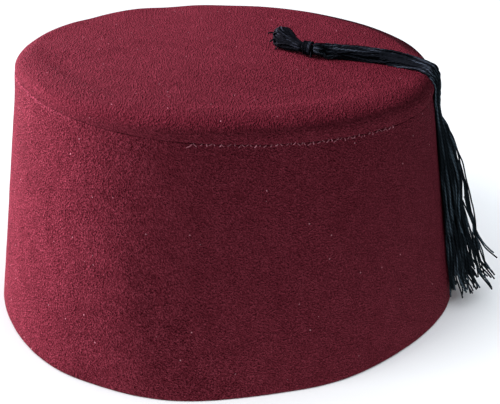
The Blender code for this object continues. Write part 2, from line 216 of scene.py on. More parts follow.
# Threads that have come away: their bearings, heights and how far they stand from the wall.
LOOSE_THREAD = 0.62
LOOSE_THREADS = (
    (-9, (80, 76, 72, 67, 63, 59, 55, 48.5, 42, 38, 27, 23, 12),
     (1.2, 2.6, 4.4, 6.2, 7.5, 8.8, 9.5, 10.6, 11.3, 12, 12.4, 13.4, 15.5)),
    (-8, (79, 74, 69, 63, 57, 51, 45, 40, 34, 28, 20, 10),
     (1.2, 3.2, 5.2, 7, 8.4, 9.1, 9.5, 9.9, 11.3, 12.2, 13.2, 16)),
    ((-11, -11, -10, -10, -9, -9, -10, -10, -10, -10, -10),
     (78, 73, 68, 62, 56, 50, 42, 35, 28, 19, 9),
     (1.5, 3.6, 5.2, 6.4, 7.9, 8.7, 9.2, 10.6, 11, 11, 12)),
    ((-7, -7, -8, -8, -9, -9, -9, -9, -9, -9, -9), (77, 72, 66, 60, 54, 47, 39, 32, 26, 17, 8),
     (1.8, 4.2, 6, 7.9, 8.3, 9.4, 10.4, 11.4, 11.6, 12.8, 14.5)),
    ((-9, -9, -9, -10, -10, -10, -9, -9, -8, -8, -8), (76, 70, 64, 58, 52, 44, 36, 29, 22, 15, 7),
     (2, 4.4, 6.2, 7.2, 8.8, 9.8, 10.3, 11.8, 12.2, 12.2, 13)),
    ((-10, -10, -10, -9, -9, -8, -8, -8, -8, -7, -7), (79, 74, 68, 62, 55, 48, 41, 34, 26, 16, 8),
     (1.5, 3.8, 5.8, 7.2, 8.6, 9.8, 10.4, 11.6, 12.4, 13.8, 17)),
    (-10, (44, 34, 28, 25, 23.5, 21.8, 20.6), (8.6, 11, 12.8, 14.4, 15.6, 17.4, 18.9)),
    (-10, (43, 33, 27, 24, 22, 20.2, 18.6), (8.4, 11, 12.6, 14.2, 15.8, 18.2, 20.2)),
)
# Threads at the bundle's far edge lie right against the felt, over the rim and down to the tips:
# their bearings, the first thread's and how much further the next one lies, by arc and by height.
FLAT_THREADS = 8
FLAT_OVER_RIM = ((66, -10, 0.05), (42, -9.6, 0.25), (18, -9, 0.4))
FLAT_DOWN_WALL = (
    (85, -8.8, 0.45), (72, -8.7, 0.5), (60, -8.6, 0.55),
    (40, -8.2, 0.6), (24, -7.9, 0.65), (8, -7.6, 0.7),
)
FLAT_STANDS = (0.24, 0.86)  # in turns
MASS_THINNER = 0.14  # of the skirt's thickness, where its outer threads have come loose
MASS_THINNER_AT = (60, 12)  # height and reach
# How much nearer to the felt the skirt's threads lie: heights and shares.
SKIRT_THINNER = (
    (6, 0), (8.5, 0.05), (13, 0.22), (20, 0.17), (28, 0.17), (42, 0.22),
    (50, 0.1), (57, 0),
)
STRAND_TIP = (-2.7, 1.5)  # how far a strand's tip is above its lock's
SHORT_THREADS = 0.24  # share of the threads that end above the rest
SHORTER = (3, 11)  # and by how much
LOW_TIP = 4.2  # tips that would hang lower than this keep only a share of the difference
LOW_TIP_SHARE = 0.3
HEAD_LOOPS = 38
HEAD_THREAD = 0.78
HEAD_ENDS = 12  # stray ends at the head
LOOP_POINTS = 34
BINDING_LENGTH = 4.4
BINDING_THREAD = 0.6
BINDING_TURNS = 7
BINDING_STEPS = 26  # points for each turn


# --- form
def outline(radius, lobes, angle):
    """Radius of a lobed outline at these angles."""
    waves = [rise * np.cos(count * (angle - math.radians(deg))) for count, rise, deg in lobes]
    return radius + np.sum(waves, axis=0)


def ray(angle, radius):
    """Points this far from the axis at these angles."""
    return np.stack((np.cos(angle) * radius, np.sin(angle) * radius, 0 * angle * radius), -1)


def unit(vectors):
    return vectors / np.linalg.norm(vectors, axis=-1, keepdims=True)


def rim_drop(angle):
    return RIM_DROP + RIM_DROP_SWING * np.cos(angle - math.radians(RIM_DROP_TOWARD_DEG))


def degrees_from(angle, middle_deg=0):
    """How far round these angles are from there, from -180 to 180 degrees."""
    return (np.degrees(angle) - middle_deg + 180) % 360 - 180


def bell(away):
    return np.exp(-(away**2) / 2)


def hump(value, middle, reach):
    return np.exp(-(((value - middle) / reach) ** 2))


def along_band(angle, band_deg):
    """0 to 1 at angles of a band, given by where it begins, is full, ebbs and ends."""
    begin, full, ebb, end = band_deg
    deg = (np.degrees(angle) - begin) % 360 + begin
    return smooth_step((deg - begin) / (full - begin)) * smooth_step((end - deg) / (end - ebb))


def shoulder(angle):
    """How much of the front's long soft shoulder the turned edge has at this angle, 0 to 1."""
    return along_band(angle, SHOULDER_DEG)


def rim_roll(angle):
    return rim_drop(angle) * RIM_ROLL_PER_DROP + RIM_ROLL_EXTRA + SHOULDER_REACH * shoulder(angle)


def rim_section(angle, arc_deg):
    """Shares (across, up) of the turned edge's section: arc 0 is upright and 90 level."""
    arc = math.radians(arc_deg)
    power = 2 / (2 + SHOULDER_SQUARE * shoulder(angle))
    return max(math.cos(arc), 0) ** power, math.sin(arc) ** power


def top_level(x, y):
    return TOP_HEIGHT + TOP_SLOPE_X * x + TOP_SLOPE_Y * y


def seam_point(angle, inset):
    """Points on the seam between side wall and top panel, or in from it."""
    reach = outline(SEAM_RADIUS, SEAM_LOBES, angle)
    edge = TOP_SHIFT + ray(angle, reach)
    place = TOP_SHIFT + ray(angle, reach - inset)
    place[..., 2] = top_level(edge[..., 0], edge[..., 1]) - rim_drop(angle)
    return place


def wall_point(angle, level, inset):
    """Points of the side wall: level 0 is the foot and 1 the seam."""
    foot = ray(angle, outline(BASE_RADIUS, BASE_LOBES, angle) - inset)
    top = seam_point(angle, inset)
    return foot + (top - foot) * np.asarray(level)[..., None]


def wall_at_height(angle, height):
    """Points on the outside of the side wall at these heights."""
    angle, height = np.broadcast_arrays(np.asarray(angle, float), np.asarray(height, float))
    zero = np.zeros_like(angle)
    return wall_point(angle, height / seam_point(angle, zero)[..., 2], zero)


def rim_point(angle, arc_deg):
    """Points on the top panel's turned edge."""
    across, up = rim_section(angle, arc_deg)
    proud = RIM_PROUD - SHOULDER_LESS_PROUD * shoulder(angle)
    place = seam_point(angle, (rim_roll(angle) + proud) * (1 - across) - proud)
    place[..., 2] += rim_drop(angle) * (RIM_UPRIGHT + (1 - RIM_UPRIGHT) * up)
    return place


def top_surface(x, y):
    """Height of the top panel over these points of its flat."""
    dx, dy = x - TOP_SHIFT[0], y - TOP_SHIFT[1]
    angle = np.arctan2(dy, dx)
    reach = outline(SEAM_RADIUS, SEAM_LOBES, angle) - rim_roll(angle)
    share = np.clip(np.hypot(dx, dy) / reach, 0, 1)
    return top_level(x, y) + DOME * (1 - share**2) + GAP


def swelling(angle, swells):
    """How far the top's edge swells at these angles, in millimetres."""
    return sum(rise * bell(degrees_from(angle, deg) / reach) for deg, reach, rise in swells)


def smooth_step(t):
    t = np.clip(t, 0, 1)
    return t * t * (3 - 2 * t)


def soft_waves(shape_seed, places, lengths, height):
    """A gentle uneven surface: a sum of waves whose lengths lie in this range, in millimetres."""
    dice = np.random.default_rng(shape_seed)
    total = np.zeros(places.shape[:-1])
    count = 18
    for _ in range(count):
        way = dice.normal(size=3)
        way *= math.tau / dice.uniform(*lengths) / np.linalg.norm(way)
        total += np.sin(places @ way + dice.uniform(0, math.tau))
    return total * height / math.sqrt(count / 2)


# --- meshes
def put_in_scene(name, data):
    made = bpy.data.objects.new(name, data)
    bpy.context.scene.collection.objects.link(made)
    return made


def add_mesh(name, points, faces, material):
    """An object from points in millimetres about the crown's axis."""
    mesh = bpy.data.meshes.new(name)
    mesh.from_pydata((points + AXIS_PLACE) * MM, [], faces)
    mesh.validate()
    mesh.shade_smooth()
    mesh.materials.append(material)
    return put_in_scene(name, mesh)


def mark_points(made, name, values):
    """Keep a value, or a vector, with each point of a mesh, for its material to read."""
    vector = values.ndim == 2 and values.shape[1] == 3
    attribute = made.data.attributes.new(name, "FLOAT_VECTOR" if vector else "FLOAT", "POINT")
    attribute.data.foreach_set("vector" if vector else "value", values.astype(np.float32).ravel())


def ring_mesh(name, rings, material, poles=()):
    """A closed skin through rings of points; a ring may have half or twice the points of the last.

    Without poles the last ring joins the first.
    """
    points = np.concatenate([*rings, *(np.reshape(pole, (1, 3)) for pole in poles)])
    starts = np.cumsum([0] + [len(ring) for ring in rings])
    order = list(range(len(rings))) + ([] if poles else [0])
    faces = []
    for near, far in zip(order, order[1:]):
        a, b = len(rings[near]), len(rings[far])
        few = min(a, b)
        for i in range(few):
            low = [starts[near] + (i * a // few + n) % a for n in range(a // few + 1)]
            high = [starts[far] + (i * b // few + n) % b for n in range(b // few, -1, -1)]
            faces.append(low + high)
    if poles:
        first, last = len(points) - 2, len(points) - 1
        a, b = len(rings[0]), len(rings[-1])
        q = starts[-2]
        faces += [(first, (i + 1) % a, i) for i in range(a)]
        faces += [(last, q + i, q + (i + 1) % b) for i in range(b)]
    return add_mesh(name, points, faces, material)


def thread_faces(length, sides):
    """Faces of one thread: its skin, and a cap at each end round one of its two last points."""
    here = np.arange(sides)
    there = (here + 1) % sides
    row = np.arange(length - 1)[:, None] * sides
    skin = np.stack((row + here, row + there, row + sides + there, row + sides + here), -1)
    end = length * sides
    last = end - sides
    first_cap = np.stack((np.full(sides, end), there, here), -1)
    last_cap = np.stack((np.full(sides, end + 1), last + here, last + there), -1)
    return skin.reshape(-1, 4), first_cap, last_cap


def tube_mesh(name, groups, sides, material):
    """Round threads along paths. Each group is (paths, radii): many paths of the same length.

    A point keeps how far along its thread it is and which way it faces, and a tone for the thread.
    """
    points, all_faces, marks, tones = [], [], [], []
    dice = np.random.default_rng(5)
    base = 0
    turn = np.arange(sides) * math.tau / sides
    circle = ray(turn, 1)[:, :2]
    ends = [0, -1]
    for paths, radii in groups:
        count, length = paths.shape[:2]
        ahead = unit(np.gradient(paths, axis=1))
        normal = np.empty_like(paths)
        turned = np.cross(ahead[:, 0], np.array((0.31, 0.52, 0.79)))
        for i in range(length):
            if i:
                lean = np.sum(normal[:, i - 1] * ahead[:, i], axis=1, keepdims=True)
                turned = normal[:, i - 1] - lean * ahead[:, i]
            normal[:, i] = unit(turned)
        swing = circle @ np.stack((normal, np.cross(ahead, normal)), 2)
        rings = paths[:, :, None] + swing * radii[:, :, None, None]
        reach = radii[:, ends, None] * np.array((-0.6, 0.6))[:, None]
        tips = paths[:, ends] + ahead[:, ends] * reach
        steps = np.linalg.norm(np.diff(paths, axis=1), axis=2)
        along = np.pad(np.cumsum(steps, axis=1), ((0, 0), (1, 0)))
        mark = np.empty((count, length, sides, 3))
        mark[..., 0] = along[:, :, None]
        mark[..., 1:] = circle
        tip_mark = np.zeros((count, 2, 3))
        tip_mark[:, 1, 0] = along[:, -1]
        each = length * sides + 2
        for n in range(count):
            for faces in thread_faces(length, sides):
                all_faces += (faces + base + n * each).tolist()
        points += [np.concatenate((rings.reshape(count, -1, 3), tips), axis=1).reshape(-1, 3)]
        marks += [np.concatenate((mark.reshape(count, -1, 3), tip_mark), axis=1).reshape(-1, 3)]
        tones += [np.repeat(dice.random(count), each)]
        base += count * each
    made = add_mesh(name, np.concatenate(points), all_faces, material)
    mark_points(made, "thread_mark", np.concatenate(marks))
    mark_points(made, "thread_tone", np.concatenate(tones))
    return made


def even(paths, thread):
    """A group for tube_mesh: threads of one thickness along these paths."""
    paths = np.asarray(paths)
    return paths, np.full(paths.shape[:2], thread / 2)


def catmull(values, steps):
    """A smooth curve through the given values, with this many points for each of them."""
    values = np.asarray(values, float)
    padded = np.concatenate(([values[0] * 2 - values[1]], values, [values[-1] * 2 - values[-2]]))
    before, start, end, after = (padded[i:len(padded) - 3 + i, None] for i in range(4))
    t = (np.arange(steps) / steps)[:, None]
    pull = (end - before) * t + (2 * before - 5 * start + 4 * end - after) * t**2
    pull = pull + (3 * start - before - 3 * end + after) * t**3
    found = (start + pull * 0.5).reshape(-1, values.shape[1])
    return np.concatenate((found, values[-1:]))


# --- materials
class Surface:
    """A material's node tree, with short ways to add and join its nodes."""

    def __init__(self, name):
        self.material = bpy.data.materials.new(name)
        self.material.use_nodes = True
        self.tree = self.material.node_tree
        self.shader = self.tree.nodes["Principled BSDF"]

    def add(self, kind, inputs=(), **settings):
        """A node; an input is a value, or the output socket that feeds it."""
        node = self.tree.nodes.new("ShaderNode" + kind)
        for key, value in settings.items():
            setattr(node, key, value)
        self.feed(node, inputs)
        return node

    def feed(self, node, inputs):
        for key, value in dict(inputs).items():
            if isinstance(value, bpy.types.NodeSocket):
                self.tree.links.new(value, node.inputs[key])
            else:
                node.inputs[key].default_value = value

    def attribute(self, name, output="Fac"):
        return self.add("Attribute", attribute_name=name).outputs[output]

    def math(self, operation, first, second=0, third=0):
        return self.add("Math", {0: first, 1: second, 2: third}, operation=operation).outputs[0]

    def times(self, first, second, *plus):
        return self.math("MULTIPLY_ADD" if plus else "MULTIPLY", first, second, *plus)

    def swing(self, value, middle, amount, onto):
        """How far a value is from its middle, by some amount, added to another value."""
        return self.times(self.math("SUBTRACT", value, middle), amount, onto)

    def noise(self, where, scale, detail, roughness):
        inputs = {"Vector": where, "Scale": scale, "Detail": detail, "Roughness": roughness}
        return self.add("TexNoise", inputs).outputs["Fac"]

    def stretch(self, value, low, high, to_low=0, to_high=1):
        inputs = {0: value, 1: low, 2: high, 3: to_low, 4: to_high}
        return self.add("MapRange", inputs).outputs[0]

    def mix(self, factor, first, second):
        inputs = {"Factor": factor, 6: first, 7: second}
        return self.add("Mix", inputs, data_type="RGBA").outputs[2]

    def finish(self, colour, height, strength, distance, **constants):
        """The finished material: its colour, its bump, and the shader's other settings."""
        bump = self.add("Bump", {"Strength": strength, "Distance": distance, "Height": height})
        self.feed(self.shader, {"Base Color": colour, "Normal": bump.outputs[0]})
        self.feed(self.shader, {k.replace("_", " "): value for k, value in constants.items()})
        return self.material


# Noises: scale, detail and roughness.
FELT_GRAIN = (1500, 1, 0.5)
FELT_CLOUD = (130, 3, 0.55)
FELT_BROAD = (24, 2, 0.5)
FELT_FIBRES = (1900, 0, 0.5)
THREAD_FUZZ = (2600, 2, 0.6)
THREAD_STREAK = (1, 1, 0.5)

# How much each of them changes the felt's tone.
GRAIN_TONE, FIBRES_TONE, CLOUD_TONE, BROAD_TONE = 1.5, 2, 0.55, 0.3

FELT_DARK = (0.03, 0.002, 0.0044, 1)
FELT_MEAN = (0.104, 0.0129, 0.0223, 1)
FELT_LIGHT = (0.24, 0.041, 0.064, 1)
FELT_PAINTED_SHADE = (0.012, 0.004, 0.0055, 1)
FELT_PAINTED_LIP_HIGHLIGHT = (0.3, 0.058, 0.09, 1)
RUFFLED_MORE = 0.55  # how much stronger the grain is where the nap is ruffled
FIBRE_TURNS = (0.4, 1.5, 2.6)  # the ways that the light fibres lie
LINT = (0.4, 0.17, 0.2, 1)
LINT_CELLS = 260  # places for a speck, for each metre
LINT_REACH = 0.075  # a speck's radius, as a share of its cell
LINT_CHOSEN = 0.7  # cells whose random value is above this have one


def make_felt():
    """Wine-red felt: fine grain, short light fibres that lie every way, and a little lint."""
    surface = Surface("wine_red_felt")
    where = surface.add("TexCoord").outputs["Object"]
    grain = surface.noise(where, *FELT_GRAIN)
    fibres = None
    for turn in FIBRE_TURNS:
        laid = surface.add("Mapping", {
            "Vector": where, "Rotation": (turn, turn * 1.7, turn * 0.6), "Scale": (1, 0.33, 1),
        }).outputs[0]
        way = surface.noise(laid, *FELT_FIBRES)
        fibres = way if fibres is None else surface.math("MAXIMUM", fibres, way)

    tone = surface.times(grain, GRAIN_TONE, -GRAIN_TONE / 2)
    tone = surface.swing(fibres, 0.62, FIBRES_TONE, tone)
    tone = surface.swing(surface.noise(where, *FELT_CLOUD), 0.5, CLOUD_TONE, tone)
    tone = surface.swing(surface.noise(where, *FELT_BROAD), 0.5, BROAD_TONE, tone)
    more = surface.times(surface.attribute("ruffled"), RUFFLED_MORE, 1)
    tone = surface.times(tone, more)
    colour = surface.mix(surface.stretch(tone, -1.05, 0, 1, 0), FELT_MEAN, FELT_DARK)
    colour = surface.mix(surface.stretch(tone, 0, 1.25), colour, FELT_LIGHT)

    specks = surface.add("TexVoronoi", {"Vector": where, "Scale": LINT_CELLS})
    near = surface.math("LESS_THAN", specks.outputs["Distance"], LINT_REACH)
    chosen = surface.add("SeparateColor", {0: specks.outputs["Color"]}).outputs[0]
    lint = surface.times(near, surface.math("GREATER_THAN", chosen, LINT_CHOSEN))
    colour = surface.mix(lint, colour, LINT)
    # painted shade along the top's turned edge at the back right
    rim_shade = surface.times(surface.attribute("painted_rim_shade"), 0.85)
    colour = surface.mix(rim_shade, colour, FELT_PAINTED_SHADE)
    # a painted highlight along the wall's stretched lip at the left, broken up by the grain
    light_grain = surface.stretch(grain, 0.42, 0.6, 0, 0.75)
    lip_highlight = surface.times(surface.attribute("painted_lip_highlight"), light_grain)
    colour = surface.mix(lip_highlight, colour, FELT_PAINTED_LIP_HIGHLIGHT)

    height = surface.times(fibres, 0.5, surface.times(grain, 0.5))
    return surface.finish(
        colour, height, 1, 2 * MM, Roughness=0.95, Specular_IOR_Level=0.02,
        Sheen_Weight=0.05, Sheen_Roughness=0.45, Sheen_Tint=(0.9, 0.12, 0.21, 1),
    )


SEWING_DARK = (0.22, 0.065, 0.085, 1)
SEWING_LIGHT = (0.66, 0.26, 0.33, 1)
# The black threads' light tone is painted sheen: bluish streaks along the threads, weaker at the
# head.
BLACK_DARK = (0.0018, 0.0028, 0.004, 1)
BLACK_PAINTED_SHEEN = (0.09, 0.132, 0.168, 1)
HEAD_PAINTED_SHEEN = (0.042, 0.057, 0.076, 1)


def make_thread(name, dark, light, roughness, specular, ply_pitch):
    """Two plies twisted together, as a bump and a change of tone along the thread; on the black
    threads the light tone is painted sheen.
    """
    surface = Surface(name)
    mark = surface.add("SeparateXYZ", {0: surface.attribute("thread_mark", "Vector")}).outputs
    twice = surface.times(surface.math("ARCTAN2", mark[2], mark[1]), 2)
    phase = surface.times(mark[0], math.tau / ply_pitch, twice)
    ply = surface.times(surface.math("SINE", phase), 0.5, 0.5)
    fuzz = surface.noise(surface.add("TexCoord").outputs["Object"], *THREAD_FUZZ)
    # each thread has its own long streaks of the light tone, which on the black threads is painted
    # sheen
    own = surface.times(surface.attribute("thread_tone"), 90)
    long = surface.times(mark[0], 0.05)
    long = surface.add("CombineXYZ", {0: long, 1: own}).outputs[0]
    streak = surface.stretch(surface.noise(long, *THREAD_STREAK), 0.53, 0.62, 0.11, 1)
    tone = surface.swing(fuzz, 0.5, 0.8, surface.times(ply, 0.5, 0.25))
    tone = surface.stretch(surface.times(tone, streak), 0, 1)
    height = surface.times(fuzz, 0.4, ply)
    return surface.finish(surface.mix(tone, dark, light), height, 0.5, 0.1 * MM,
                          Roughness=roughness, Specular_IOR_Level=specular)


# --- the felt
def stitch_angles():
    """Angles of the hand stitches, unevenly spaced along the seam."""
    dice = np.random.default_rng(7)
    steps = STITCH_PITCH + dice.uniform(-1, 1, 90) * STITCH_PITCH_JITTER
    angles = SEWN_FROM_DEG + 0.6 + np.degrees(np.cumsum(steps) / SEAM_RADIUS)
    return np.radians(angles[angles < SEWN_TO_DEG])


def sewn(angle):
    """1 along the hand-sewn stretch of the seam, 0 elsewhere."""
    deg = degrees_from(angle)
    return smooth_step((deg - SEWN_FROM_DEG + 1) / 2) * smooth_step((SEWN_TO_DEG + 3 - deg) / 6)


def wall_relief(angle, height):
    """How far the felt stands out from its plain form, in millimetres."""
    height = np.asarray(height, float)
    rise = np.zeros_like(height)
    for deg, middle, reach_round, reach_up, most in WALL_SWELLS:
        across = np.radians(degrees_from(angle, deg)) * SWELL_RADIUS / reach_round
        rise += most * bell(across) * bell((height - middle) / reach_up)
    rows = np.array(FOLD_ROWS).T
    line, proud, left, right = (np.interp(height, rows[0], row) for row in rows[1:])
    apart = degrees_from(angle, line)
    rise += proud * bell(np.radians(apart) * FOLD_RADIUS / np.where(apart < 0, left, right))
    flat = ray(angle, FOLD_RADIUS) + height[..., None] * UP
    return rise + soft_waves(1, flat, (28, 80), 0.1) + soft_waves(2, flat, (7, 16), 0.025)


def seam_pucker(angle, below):
    """The sewing draws the wall's lip in, most at each stitch."""
    drawn = np.zeros_like(below)
    for stitch in stitch_angles():
        apart = (angle - stitch) * SEAM_RADIUS
        drawn += hump(apart, 0, 0.7) * hump(below, 0.9, 0.9)
    return -0.16 * drawn - SEWN_DRAW * sewn(angle) * hump(below, 0, 1.3)


def make_side_wall(felt):
    """The wall's skin: up the outside, over the lip, down the inside and round the foot."""
    arc = np.linspace(0, math.pi / 2, EDGE_STEPS, endpoint=False)
    sine, cosine = 1 - np.sin(arc), 1 - np.cos(arc)
    roll, lip = EDGE_ROLL, LIP_ROLL
    up = np.linspace(0, 1, WALL_ROWS) ** 0.86  # closer together towards the seam
    down = np.linspace(1, 0, INSIDE_ROWS)
    parts = (  # rows of (level, rise, inset)
        (0, roll * cosine, roll * sine),
        (up, roll * (1 - up) - lip * up, 0),
        (1, -lip * sine[1:], lip * cosine[1:]),
        (1, -lip * cosine, FELT - lip * sine),
        (down, roll * (1 - down) - lip * down, FELT),
        (0, roll * sine[1:], FELT - roll * cosine[1:]),
    )
    rows = np.concatenate([np.stack(np.broadcast_arrays(*part), -1) for part in parts])
    angle = np.arange(WALL_AROUND) * math.tau / WALL_AROUND
    angle, _ = np.meshgrid(angle, rows[:, 0])
    level, rise, inset = (np.repeat(rows[:, i:i + 1], WALL_AROUND, 1) for i in range(3))
    points = wall_point(angle, level, inset)
    points[..., 2] += rise
    seam = seam_point(angle, np.zeros_like(angle))[..., 2]
    height = points[..., 2]
    below = seam - height
    relief = wall_relief(angle, height) * smooth_step(below / WALL_CALM)
    relief += swelling(angle, RIM_BULGE) * hump(below, 0, RIM_BULGE_DOWN)
    relief += seam_pucker(np.radians(degrees_from(angle)), below)
    points += ray(angle, relief)
    made = ring_mesh("felt_side", list(points), felt)
    # where the painted highlight lies along the lip's edge
    light = along_band(angle, PAINTED_HIGHLIGHT_LIP_DEG) * smooth_step(1.5 - below / 0.6) * (inset < FELT / 2)
    mark_points(made, "painted_lip_highlight", light)
    reach = RUFFLED_REACH_DEG + RUFFLED_AT_FOOT_DEG * np.clip(1 - height / 50, 0, 1)
    apart = np.abs(degrees_from(angle, RUFFLED_DEG))
    mark_points(made, "ruffled", smooth_step((reach - apart) / 20))
    return made


def make_top_panel(felt):
    """The top: its turned edge from the seam up and over, its flat, and the same inside."""
    angle = np.arange(TOP_AROUND) * math.tau / TOP_AROUND
    proud = RIM_PROUD - SHOULDER_LESS_PROUD * shoulder(angle)
    back = PROUD_LIP * along_band(angle, PROUD_LIP_DEG)
    tuck = SOFT_FOLD + (SEWN_FOLD - SOFT_FOLD) * sewn(angle) + back
    uneven = soft_waves(6, ray(angle, SEAM_RADIUS), (3, 9), 0.09)

    def fold(turn):
        """The panel's lower edge, from under the seam round to its proudest line."""
        place = seam_point(angle, tuck - (tuck - back + proud) * math.sin(turn))
        rise = rim_drop(angle) * RIM_UPRIGHT + GAP - SOFT_GAP
        place[..., 2] += SOFT_GAP + np.maximum(uneven, -0.06)
        place[..., 2] += (rise - uneven) * (1 - math.cos(turn))
        return place

    def inner(arc_deg):
        across, up = rim_section(angle, arc_deg)
        place = seam_point(angle, FELT + (rim_roll(angle) - FELT) * (1 - across))
        place[..., 2] += (rim_drop(angle) - FELT) * up
        return place + GAP * UP

    def flat(share, count, under):
        """A ring on the flat, or FELT below it on the inside."""
        turn = np.arange(count) * math.tau / count
        reach = outline(SEAM_RADIUS, SEAM_LOBES, turn) - rim_roll(turn)
        place = TOP_SHIFT + ray(turn, reach * share)
        place[..., 2] = top_surface(place[..., 0], place[..., 1])
        if under:
            return place - FELT * UP
        fade = smooth_step((1 - share) / 0.12)
        place[..., 2] += top_relief(place[..., 0], place[..., 1]) * fade
        inward = reach * (1 - share)
        place[..., 2] += swelling(turn, RIM_SWELLS) * smooth_step(1 - inward / RIM_SWELL_REACH)
        return place

    def flat_rings(shares, under):
        """Rings on the flat, with fewer points on those nearer to the middle."""
        fewer = [1 if share > 0.62 else 2 if share > 0.3 else 4 for share in shares]
        return [flat(share, TOP_AROUND // n, under) for share, n in zip(shares, fewer)]

    rings = flat_rings(np.linspace(0, 1, 10)[1:], True)
    rings += [inner(arc) for arc in np.linspace(90, 0, 7)[1:]]
    rings += [seam_point(angle, np.full_like(angle, 1.6)) + GAP * UP]
    bulge = swelling(angle, RIM_BULGE)
    turns = np.linspace(0, math.pi / 2, 6)[:-1]
    rings += [fold(turn) + ray(angle, bulge) for turn in turns]
    # closer together towards the seam, where the section turns fastest
    arcs = 90 * np.linspace(0, 1, RIM_ROWS) ** 1.25
    edge_rows = [rim_point(angle, arc) + GAP * UP for arc in arcs]
    for arc, row in zip(arcs, edge_rows):
        swell = soft_waves(4, row, (20, 60), 0.12) * math.sin(math.radians(2 * arc))
        row += ray(angle, swell + (bulge - back) * (1 - arc / 90) ** 2)
        row[..., 2] += swelling(angle, RIM_SWELLS) * rim_section(angle, arc)[1]
    first = len(rings)
    rings += edge_rows
    rings += flat_rings(np.linspace(1, 0, 36)[1:-1], False)
    middle = flat(0, 1, False)[0]
    made = ring_mesh("felt_top", rings, felt, poles=(middle - FELT * UP, middle))
    shade = [np.zeros(len(ring)) for ring in rings] + [np.zeros(2)]
    # painted shade on the turned edge at the back right
    shade[first:first + RIM_ROWS] = [along_band(angle, PAINTED_SHADE_RIM_DEG)] * RIM_ROWS
    mark_points(made, "painted_rim_shade", np.concatenate(shade))
    return made


def top_relief(x, y):
    rise = np.zeros_like(x)
    for at_x, at_y, reach_x, reach_y, most in TOP_SWELLS:
        rise += most * bell((x - at_x) / reach_x) * bell((y - at_y) / reach_y)
    flat = np.stack((x, y, 0 * x), -1)
    return rise + soft_waves(3, flat, (26, 70), 0.11) + soft_waves(5, flat, (8, 16), 0.02)


def make_stitches(material):
    """Small hand stitches from the wall's lip into the seam, and the thread's loose end."""
    dice = np.random.default_rng(8)
    paths, radii = [], []
    t = np.linspace(0, 1, 9)
    for k, angle in enumerate(stitch_angles()):
        lean = math.radians(dice.normal((-0.45, 0.75)[k % 2], 0.35))
        length = dice.uniform(0.7, 1.5)
        below = length * t - dice.uniform(0, 0.9)
        proud = dice.uniform(0.1, 0.3) - 0.7 * abs(2 * t - 1) ** 3
        path = seam_point(angle + lean * (0.5 - t), 0) - below[:, None] * UP
        paths.append(path + ray(angle, seam_pucker(angle, below) + proud))
        radii.append(np.full(len(t), STITCH_THREAD / 2 * dice.uniform(0.6, 1.1)))
    angle = np.radians(SEWN_FROM_DEG - 0.3 + 1.5 * t)
    bow = np.sin(math.pi * t)
    end = seam_point(angle, 0) + ray(angle, 0.12 + 0.2 * bow)
    end[:, 2] -= 0.5 * bow + 1.5 * (1 - t) ** 2
    groups = [(np.array(paths), np.array(radii)), even([end], STITCH_THREAD)]
    return tube_mesh("seam_stitches", groups, 6, material)


# --- the tassel
def lying_station(row):
    """(middle, way out from the felt, width, thickness) of the bundle on the top."""
    height = top_surface(row.x, row.y) + row.lift + row.thick / 2
    return [row.x, row.y, height, 0, 0, 1, row.width, row.thick]


def edge_out(angle, arc_deg):
    """The way out from the turned edge, of length 1."""
    arc = math.radians(arc_deg)
    return ray(angle, math.cos(arc)) + math.sin(arc) * UP


def edge_station(row):
    angle = math.radians(row.angle_deg)
    out = edge_out(angle, row.arc_deg)
    middle = rim_point(angle, row.arc_deg) + out * (GAP * 2 + row.thick / 2)
    return [*middle, *out, row.width, row.thick]


def hanging_station(row):
    angle = math.radians(row.angle_deg)
    middle = wall_at_height(angle, row.height) + ray(angle, row.stand + row.thick / 2)
    return [*middle, *ray(angle, 1), row.width, row.thick]


def disc_points(count):
    """Points spread evenly over the unit disc."""
    k = np.arange(count) + 0.5
    return ray(k * GOLDEN_TURN, np.sqrt(k / count))[:, :2]


def route(rows, steps):
    """A smooth route through rows of the tassel's tables, with this many places for each row.

    It gives the middles, the ways to the side and out from the felt, the widths and thicknesses.
    """
    kinds = {LyingRow: lying_station, EdgeRow: edge_station, HangingRow: hanging_station}
    stations = catmull([kinds[type(row)](row) for row in rows], steps)
    middle, out = stations[:, :3], stations[:, 3:6]
    ahead = np.gradient(middle, axis=0)
    side = unit(np.cross(ahead, out))
    up = unit(np.cross(side, ahead))
    return middle, side, up, stations[:, 6], stations[:, 7]


def along(way, pick):
    """What route() gives, at these places along it."""
    index = np.arange(len(way[0]))
    vectors = [np.stack([np.interp(pick, index, v) for v in a.T], -1) for a in way[:3]]
    return vectors + [np.interp(pick, index, a) for a in way[3:]]


def lock_table():
    """A row for each lock, as in LOCK_ROWS, but first comes its place across, -0.5 to 0.5."""
    return np.array([
        (i / (count - 1) - 0.5, *spread, tip_height + LOCK_STAGGER * (i % 2), radius)
        for count, *spread, tip_height, radius in LOCK_ROWS for i in range(count)
    ])


def assign_locks(spots, locks):
    """The lock that each thread belongs to: the nearest with room left."""
    spread_deg, thick = 10, 9.6  # of the skirt where the locks begin
    aims = np.stack((-2 * locks[:, 0] * locks[:, 1] / spread_deg, 2 * locks[:, 3] / thick - 1), -1)
    room = np.full(len(locks), math.ceil(len(spots) / len(locks)))
    distance = np.linalg.norm(spots[:, None] - aims[None], axis=2)
    chosen = np.full(len(spots), -1)
    for flat in np.argsort(distance, axis=None):
        thread, lock = divmod(int(flat), len(locks))
        if chosen[thread] < 0 and room[lock] > 0:
            chosen[thread] = lock
            room[lock] -= 1
    return chosen


